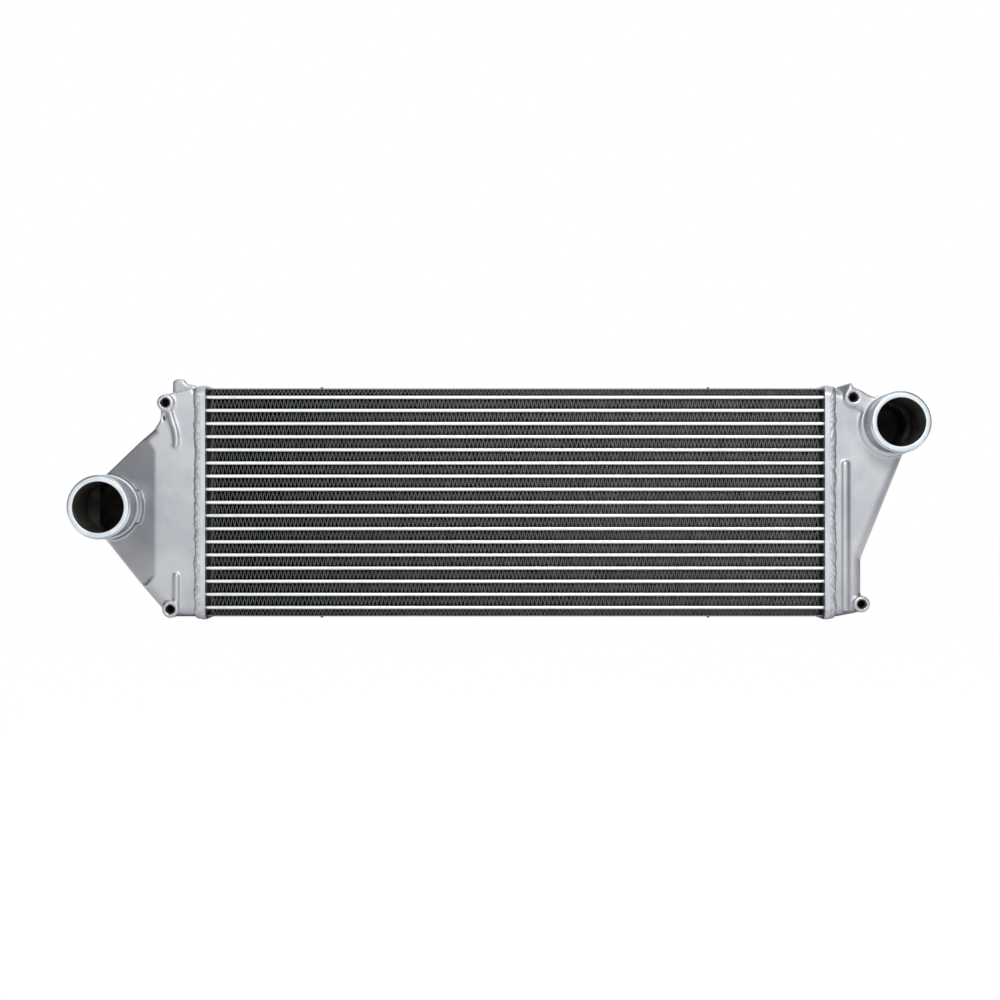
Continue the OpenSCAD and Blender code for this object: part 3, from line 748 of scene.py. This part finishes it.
def tube_stack_tree():
    """Extrudes a tube's ring-shaped section along X and stacks the tubes."""
    tree, sizes = new_tree("tube_stack", {
        "Length": ("NodeSocketFloat", 1.0), "Depth": ("NodeSocketFloat", 1.0),
        "Height": ("NodeSocketFloat", 1.0), "Wall": ("NodeSocketFloat", 0.1),
        "Pitch": ("NodeSocketFloat", 1.0), "Count": ("NodeSocketInt", 1),
        "Lowest": ("NodeSocketVector", None), "Material": ("NodeSocketMaterial", None)})
    ring = add_node(tree, "GeometryNodeJoinGeometry")
    tree.links.new(round_nosed(tree, sizes, None), ring.inputs["Geometry"])
    tree.links.new(round_nosed(tree, sizes, sizes["Wall"]), ring.inputs["Geometry"])
    end = add_node(tree, "GeometryNodeFillCurve", links={"Curve": ring.outputs["Geometry"]})
    run = add_node(tree, "ShaderNodeCombineXYZ", links={"Z": sizes["Length"]})
    drawn = add_node(tree, "GeometryNodeExtrudeMesh", {"mode": "FACES"}, {"Individual": False},
                     {"Mesh": end.outputs["Mesh"], "Offset": run.outputs["Vector"]})
    other_end = add_node(tree, "GeometryNodeFlipFaces", links={"Mesh": end.outputs["Mesh"]})
    both = add_node(tree, "GeometryNodeJoinGeometry")
    tree.links.new(drawn.outputs["Mesh"], both.inputs["Geometry"])
    tree.links.new(other_end.outputs["Mesh"], both.inputs["Geometry"])
    whole = add_node(tree, "GeometryNodeMergeByDistance", values={"Distance": SAME_PLACE},
                     links={"Geometry": both.outputs["Geometry"]})
    laid = add_node(tree, "GeometryNodeTransform", values={"Rotation": (0, math.radians(90), 0)},
                    links={"Geometry": whole.outputs["Geometry"]})
    step = add_node(tree, "ShaderNodeCombineXYZ", links={"Z": sizes["Pitch"]})
    places = add_node(tree, "GeometryNodeMeshLine",
                      links={"Count": sizes["Count"], "Start Location": sizes["Lowest"],
                             "Offset": step.outputs["Vector"]})
    stack = add_node(tree, "GeometryNodeInstanceOnPoints",
                     links={"Points": places.outputs["Mesh"], "Instance": laid.outputs["Geometry"]})
    real = add_node(tree, "GeometryNodeRealizeInstances", links={"Geometry": stack.outputs["Instances"]})
    clothed = add_node(tree, "GeometryNodeSetMaterial",
                       links={"Geometry": real.outputs["Geometry"], "Material": sizes["Material"]})
    add_node(tree, "NodeGroupOutput", links={"Geometry": clothed.outputs["Geometry"]})
    return tree


lowest_low, lowest_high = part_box(tube_names[-1])
tubes = grown("flat_tubes", tube_stack_tree(), {
    "Length": lowest_high.x - lowest_low.x, "Depth": lowest_high.y - lowest_low.y,
    "Height": lowest_high.z - lowest_low.z, "Wall": TUBE_WALL, "Pitch": tube_pitch, "Count": tube_count,
    "Lowest": (lowest_low.x, core_middle.y, (lowest_low.z + lowest_high.z) / 2), "Material": CLAD_TUBE})
seat(tubes, "tube_sheet", *tube_names)


# Air fins
# Between the tubes run thin strips of aluminium foil, folded into V waves and brazed at their crests.
# Rolling and handling leave the waves uneven. The louvres hardly show from the front, so they are a bump.
FIN_FOIL = 0.0002
FIN_GREY = "#E5E7E6"
FIN_DULL = "#C9CBCA"
FIN_FRONT_SHADE = "#9B9D9D"
FIN_WAVES = 153
FIN_STEPS = 6
FIN_DEPTH_POINTS = 5
DEPTH_WAVE = 0.0026
END_FADE = 0.006
CREST_ROUND = 0.62
UNEVEN = 0.0005
UNEVEN_LENGTH = 0.0035
LEAN = 0.0012
LEAN_LENGTH = 0.030
LOUVRE_PITCH = 0.0014
LOUVRE_DEPTH = 0.0004
BANDS_FOR_SCALE = 3.2
FOIL_BLOTCH = 0.010
FRONT_SHADE_TURN = (-0.8, -0.9)


def fin_foil():
    """Brazed foil, with painted shade on its front-facing cut edges, and louvres as fine steps across its
    depth.
    """
    material, tree, shader, place = bare_metal("folded_fin_foil", 0.45)
    blotch = noise_field(tree, place, FOIL_BLOTCH, 3.0)
    grey = colour_ramp(tree, blotch, [(0.38, FIN_DULL), (0.62, FIN_GREY)])
    # Painted shade: the front-facing cut edges are darkened.
    facing = add_node(tree, "ShaderNodeNewGeometry").outputs["True Normal"]
    forwards = add_node(tree, "ShaderNodeSeparateXYZ", links={"Vector": facing}).outputs["Y"]
    front_shaded = tint_where(tree, grey, forwards, FRONT_SHADE_TURN, FIN_FRONT_SHADE)
    tree.links.new(front_shaded, shader.inputs["Base Color"])
    louvres = add_node(tree, "ShaderNodeTexWave", {"bands_direction": "Y", "wave_profile": "SAW"},
                       {"Scale": 1 / LOUVRE_PITCH / BANDS_FOR_SCALE}, {"Vector": place})
    bumps(tree, shader, (louvres.outputs["Fac"], 0.5, LOUVRE_DEPTH))
    return material


FOIL = fin_foil()
fin_names = ["fin_%02d" % k for k in range(1, tube_count + 2)]


def fin_rows_tree():
    """Folds strips into waves, one row for each height, and leaves them a little uneven."""
    tree, sizes = new_tree("fin_rows", {
        "Length": ("NodeSocketFloat", 1.0), "Depth": ("NodeSocketFloat", 1.0),
        "Height": ("NodeSocketFloat", 1.0), "Foil": ("NodeSocketFloat", 0.1),
        "Pitch": ("NodeSocketFloat", 1.0), "Rows": ("NodeSocketInt", 1),
        "Waves": ("NodeSocketInt", 1), "Lowest": ("NodeSocketVector", None),
        "Material": ("NodeSocketMaterial", None)})

    def maths(operation, first, second, third=None):
        made = add_node(tree, "ShaderNodeMath", {"operation": operation})
        for socket, value in zip(made.inputs, (first, second, third)):
            if isinstance(value, (int, float)):
                socket.default_value = value
            elif value is not None:
                tree.links.new(value, socket)
        return made.outputs[0]

    steps = maths("MULTIPLY_ADD", sizes["Waves"], FIN_STEPS, 1.0)
    end = add_node(tree, "ShaderNodeCombineXYZ", links={"X": sizes["Length"]})
    line = add_node(tree, "GeometryNodeCurvePrimitiveLine", links={"End": end.outputs["Vector"]})
    points = add_node(tree, "GeometryNodeResampleCurve",
                      links={"Curve": line.outputs["Curve"], "Count": steps})
    index = add_node(tree, "GeometryNodeInputIndex").outputs["Index"]
    half = FIN_STEPS / 2
    ramped = maths("SUBTRACT", maths("DIVIDE", maths("PINGPONG", index, half), half / 2), 1.0)
    folded = maths("SINE", maths("MULTIPLY", ramped, math.pi / 2), 0.0)
    fold = maths("ADD", maths("MULTIPLY", folded, CREST_ROUND), maths("MULTIPLY", ramped, 1 - CREST_ROUND))
    inner_height = maths("SUBTRACT", sizes["Height"], maths("MULTIPLY", sizes["Foil"], 1.1))
    rise = maths("MULTIPLY", maths("MULTIPLY", fold, 0.5), inner_height)
    lifted = add_node(tree, "ShaderNodeCombineXYZ", links={"Z": rise})
    strip = add_node(tree, "GeometryNodeSetPosition",
                     links={"Geometry": points.outputs["Curve"], "Offset": lifted.outputs["Vector"]})
    row_step = add_node(tree, "ShaderNodeCombineXYZ", links={"Z": sizes["Pitch"]})
    places = add_node(tree, "GeometryNodeMeshLine",
                      links={"Count": sizes["Rows"], "Start Location": sizes["Lowest"],
                             "Offset": row_step.outputs["Vector"]})
    rows = add_node(tree, "GeometryNodeInstanceOnPoints",
                    links={"Points": places.outputs["Mesh"], "Instance": strip.outputs["Geometry"]})
    real = add_node(tree, "GeometryNodeRealizeInstances", links={"Geometry": rows.outputs["Instances"]})
    position = add_node(tree, "GeometryNodeInputPosition").outputs["Position"]

    def sway(size, amount, seed):
        field = add_node(tree, "ShaderNodeTexNoise", {"noise_dimensions": "4D"},
                         {"Scale": 1 / size, "Detail": 0.0, "W": seed}, {"Vector": position})
        return maths("MULTIPLY", maths("SUBTRACT", field.outputs["Fac"], 0.5), 2 * amount)

    here = add_node(tree, "ShaderNodeSeparateXYZ", links={"Vector": position}).outputs
    start = add_node(tree, "ShaderNodeSeparateXYZ", links={"Vector": sizes["Lowest"]}).outputs
    from_start = maths("SUBTRACT", here["X"], start["X"])
    from_end = maths("SUBTRACT", sizes["Length"], from_start)
    nearest = maths("MAXIMUM", maths("MINIMUM", from_start, from_end), 0.0)
    fade = maths("MINIMUM", maths("DIVIDE", nearest, END_FADE), 1.0)
    swayed = maths("ADD", sway(UNEVEN_LENGTH, UNEVEN, 1.0), sway(LEAN_LENGTH, LEAN, 2.0))
    shove = add_node(tree, "ShaderNodeCombineXYZ", links={"X": maths("MULTIPLY", swayed, fade)})
    uneven = add_node(tree, "GeometryNodeSetPosition",
                      links={"Geometry": real.outputs["Geometry"], "Offset": shove.outputs["Vector"]})
    upright = add_node(tree, "GeometryNodeSetCurveNormal", {"mode": "Z_UP"},
                       links={"Curve": uneven.outputs["Geometry"]})
    sheet = add_node(tree, "GeometryNodeMeshGrid", values={"Vertices X": FIN_DEPTH_POINTS, "Vertices Y": 2},
                     links={"Size X": sizes["Depth"], "Size Y": sizes["Foil"]})
    sides = add_node(tree, "GeometryNodeInputMeshEdgeNeighbors").outputs["Face Count"]
    section = add_node(tree, "GeometryNodeMeshToCurve",
                       links={"Mesh": sheet.outputs["Mesh"], "Selection": maths("COMPARE", sides, 1.0, 0.1)})
    swept = add_node(tree, "GeometryNodeCurveToMesh", values={"Fill Caps": True},
                     links={"Curve": upright.outputs["Curve"], "Profile Curve": section.outputs["Curve"]})
    through = maths("DIVIDE", maths("SUBTRACT", here["Y"], start["Y"]), sizes["Depth"])
    bend = maths("MULTIPLY", maths("SINE", maths("MULTIPLY", through, 2 * math.pi), 0.0), DEPTH_WAVE)
    bent = add_node(tree, "ShaderNodeCombineXYZ", links={"X": maths("MULTIPLY", bend, fade)})
    waved = add_node(tree, "GeometryNodeSetPosition",
                     links={"Geometry": swept.outputs["Mesh"], "Offset": bent.outputs["Vector"]})
    clothed = add_node(tree, "GeometryNodeSetMaterial",
                       links={"Geometry": waved.outputs["Geometry"], "Material": sizes["Material"]})
    add_node(tree, "NodeGroupOutput", links={"Geometry": clothed.outputs["Geometry"]})
    return tree


fin_tree = fin_rows_tree()


def fin_rows(name, nodes):
    """Rows of folded foil in place of like CAD fins, listed from the lowest up."""
    low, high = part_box(nodes[0])
    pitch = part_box(nodes[1])[0].z - low.z if len(nodes) > 1 else 1.0
    piece = grown(name, fin_tree, {
        "Length": high.x - low.x, "Depth": high.y - low.y, "Height": high.z - low.z, "Foil": FIN_FOIL,
        "Pitch": pitch, "Rows": len(nodes), "Waves": FIN_WAVES,
        "Lowest": (low.x, (low.y + high.y) / 2, (low.z + high.z) / 2), "Material": FOIL})
    seat(piece, "air_fin_foil", *nodes)
    for face in piece.data.polygons:
        face.use_smooth = False


full_rows = fin_names[1:-1][::-1]
fin_rows("lower_air_fins", full_rows[:len(full_rows) // 2])
fin_rows("upper_air_fins", full_rows[len(full_rows) // 2:])
fin_rows("bottom_air_fin", fin_names[-1:])
fin_rows("top_air_fin", fin_names[:1])


# Inner fins
# Each tube holds a folded strip that mixes the air. It is brazed inside and only shows at a cut tube.
INNER_GREY = "#B9BABC"
INNER_DULL = "#A3A4A6"
MILL_GRAIN = 0.0008
MILL_GRAIN_DEPTH = 0.0001


def mill_foil():
    """Mill-finish foil with faint blotches from the brazing furnace."""
    material, tree, shader, place = bare_metal("mill_finish_foil", 0.38)
    blotch = noise_field(tree, place, FOIL_BLOTCH, 2.0)
    tree.links.new(colour_ramp(tree, blotch, [(0.4, INNER_DULL), (0.6, INNER_GREY)]),
                   shader.inputs["Base Color"])
    bumps(tree, shader, (noise_field(tree, place, MILL_GRAIN), 0.2, MILL_GRAIN_DEPTH))
    return material


def carry_over(node, material):
    """Gives a CAD node that keeps its own mesh a material of this script."""
    data = frame["nodes"][node].data
    data.materials.clear()
    data.materials.append(material)


INNER_FOIL = mill_foil()
for name in frame["nodes"]:
    if name.startswith("turbulator_"):
        carry_over(name, INNER_FOIL)


# Side plates
# A flat strip of sheet lies over the outermost fins at the top and the bottom, with two small pips that
# locate it in the brazing jig.
SIDE_SHADE_GREY = "#727577"
SIDE_SHADE_DULL = "#626466"
SIDE_BLOTCH = 0.006
SIDE_DEPTH = 0.0003


def side_sheet_shade():
    """Side sheet painted dark grey as painted shade, with blotches."""
    material, tree, shader, place = bare_metal("painted_shade_side_sheet", 0.42)
    along = add_node(tree, "ShaderNodeMapping", values={"Scale": (0.1, 1.0, 1.0)}, links={"Vector": place})
    blotch = noise_field(tree, along.outputs["Vector"], SIDE_BLOTCH, 4.0)
    tree.links.new(colour_ramp(tree, blotch, [(0.38, SIDE_SHADE_DULL), (0.62, SIDE_SHADE_GREY)]),
                   shader.inputs["Base Color"])
    bumps(tree, shader, (blotch, 0.3, SIDE_DEPTH))
    return material


# The side sheets are painted dark grey, as painted shade along the core's top and bottom.
SIDE_SHADE_SHEET = side_sheet_shade()
for name in ("top_side_plate", "bottom_side_plate"):
    carry_over(name, SIDE_SHADE_SHEET)


# Floor, backdrop and light
# A white floor and a white room, as in a product picture. Grey cards, which only reflections see, stand at
# the left and the right, where a photographer hangs flags to give the pale metal its shape.
FLOOR_SIZE = 12.0
FLOOR_WHITE = "#FFFFFF"
FLOOR_SHADOW_SHARE = 0.015
ROOM_LEVEL = 0.9
FLAG_GREY = "#A3A4A7"
FLAG_DARK = "#2C2D30"
FLAG_BEHIND = 0.90
FLAG_FAR = 1.70
FLAG_SIDEWAYS = 1.15
FLAG_FOOT = 0.45
FLAG_HEIGHT = 2.4
FLAG_LIFT = 0.001
KEY_POWER = 14.0
KEY_SIZE = 0.7
KEY_PLACE = Vector((0.24, -2.1, 1.15))

floor_mesh = bpy.data.meshes.new("floor")
plane = bmesh.new()
bmesh.ops.create_grid(plane, x_segments=1, y_segments=1, size=FLOOR_SIZE / 2)
plane.to_mesh(floor_mesh)
plane.free()
floor = new_piece("floor", floor_mesh)

floor_paint = bpy.data.materials.new("white_floor_paint")
floor_paint.use_nodes = True
paint_tree = floor_paint.node_tree
paint = paint_tree.nodes["Principled BSDF"]
paint.inputs["Base Color"].default_value = linear(FLOOR_WHITE)
paint.inputs["Roughness"].default_value = 1.0
paint.inputs["Specular IOR Level"].default_value = 0.0
glow = add_node(paint_tree, "ShaderNodeEmission", values={"Color": linear(FLOOR_WHITE), "Strength": 1.0})
ray = add_node(paint_tree, "ShaderNodeLightPath")
seen = add_node(paint_tree, "ShaderNodeMath", {"operation": "MULTIPLY"},
                links={0: ray.outputs["Is Camera Ray"]})
seen.inputs[1].default_value = 1 - FLOOR_SHADOW_SHARE
blend = add_node(paint_tree, "ShaderNodeMixShader",
                 links={"Fac": seen.outputs[0], 1: paint.outputs["BSDF"], 2: glow.outputs["Emission"]})
paint_tree.links.new(blend.outputs["Shader"], paint_tree.nodes["Material Output"].inputs["Surface"])
floor_mesh.materials.append(floor_paint)

world = bpy.data.worlds.new("white_room")
bpy.context.scene.world = world
world.use_nodes = True
room = world.node_tree
background = room.nodes["Background"]
background.inputs["Color"].default_value = linear(FLOOR_WHITE)
path = add_node(room, "ShaderNodeLightPath")
mirrored = add_node(room, "ShaderNodeMath", {"operation": "MAXIMUM"},
                    links={0: path.outputs["Is Camera Ray"], 1: path.outputs["Is Glossy Ray"]})
seen_white = add_node(room, "ShaderNodeMath", {"operation": "MAXIMUM"},
                      links={0: mirrored.outputs[0], 1: path.outputs["Is Transmission Ray"]})
level = add_node(room, "ShaderNodeMapRange", values={"To Min": ROOM_LEVEL, "To Max": 1.0},
                 links={"Value": seen_white.outputs[0]})
room.links.new(level.outputs["Result"], background.inputs["Strength"])


def grey_card(name, colour):
    """An evenly grey card."""
    card = bpy.data.materials.new(name)
    card.use_nodes = True
    glow = add_node(card.node_tree, "ShaderNodeEmission", values={"Color": linear(colour), "Strength": 1.0})
    surface = card.node_tree.nodes["Material Output"].inputs["Surface"]
    card.node_tree.links.new(glow.outputs["Emission"], surface)
    return card


def side_flags():
    """On each side a grey card with a foot that lies towards the part, and a darker card behind."""
    mesh = bpy.data.meshes.new("side_flags")
    shell = bmesh.new()
    foot_z, top_z = FLAG_LIFT, FLAG_HEIGHT
    middle, behind, far = tube_low.y, tube_low.y + FLAG_BEHIND, tube_low.y - FLAG_FAR
    for side in (-1, 1):
        x = core_middle.x + side * FLAG_SIDEWAYS
        foot_x = x - side * FLAG_FOOT
        upright = [(x, middle, foot_z), (x, far, foot_z), (x, far, top_z), (x, middle, top_z)]
        lying = [(x, middle, foot_z), (foot_x, middle, foot_z), (foot_x, far, foot_z), (x, far, foot_z)]
        farther = [(x, behind, foot_z), (x, middle, foot_z), (x, middle, top_z), (x, behind, top_z)]
        for corners, card in ((upright, 0), (lying, 0), (farther, 1)):
            face = shell.faces.new([shell.verts.new(Vector(corner)) for corner in corners])
            face.material_index = card
    shell.to_mesh(mesh)
    shell.free()
    flags = new_piece("side_flags", mesh)
    mesh.materials.append(grey_card("grey_card", FLAG_GREY))
    mesh.materials.append(grey_card("dark_card", FLAG_DARK))
    flags.visible_camera = False
    flags.visible_diffuse = False
    flags.visible_shadow = False


side_flags()

key = bpy.data.objects.new("key_lamp", bpy.data.lights.new("key_lamp", "AREA"))
bpy.context.scene.collection.objects.link(key)
key.data.shape = "DISK"
key.data.size = KEY_SIZE
key.data.energy = KEY_POWER
key.location = KEY_PLACE
key.rotation_euler = (core_middle - KEY_PLACE).to_track_quat("-Z", "Y").to_euler()

bpy.context.scene.view_settings.view_transform = "Standard"
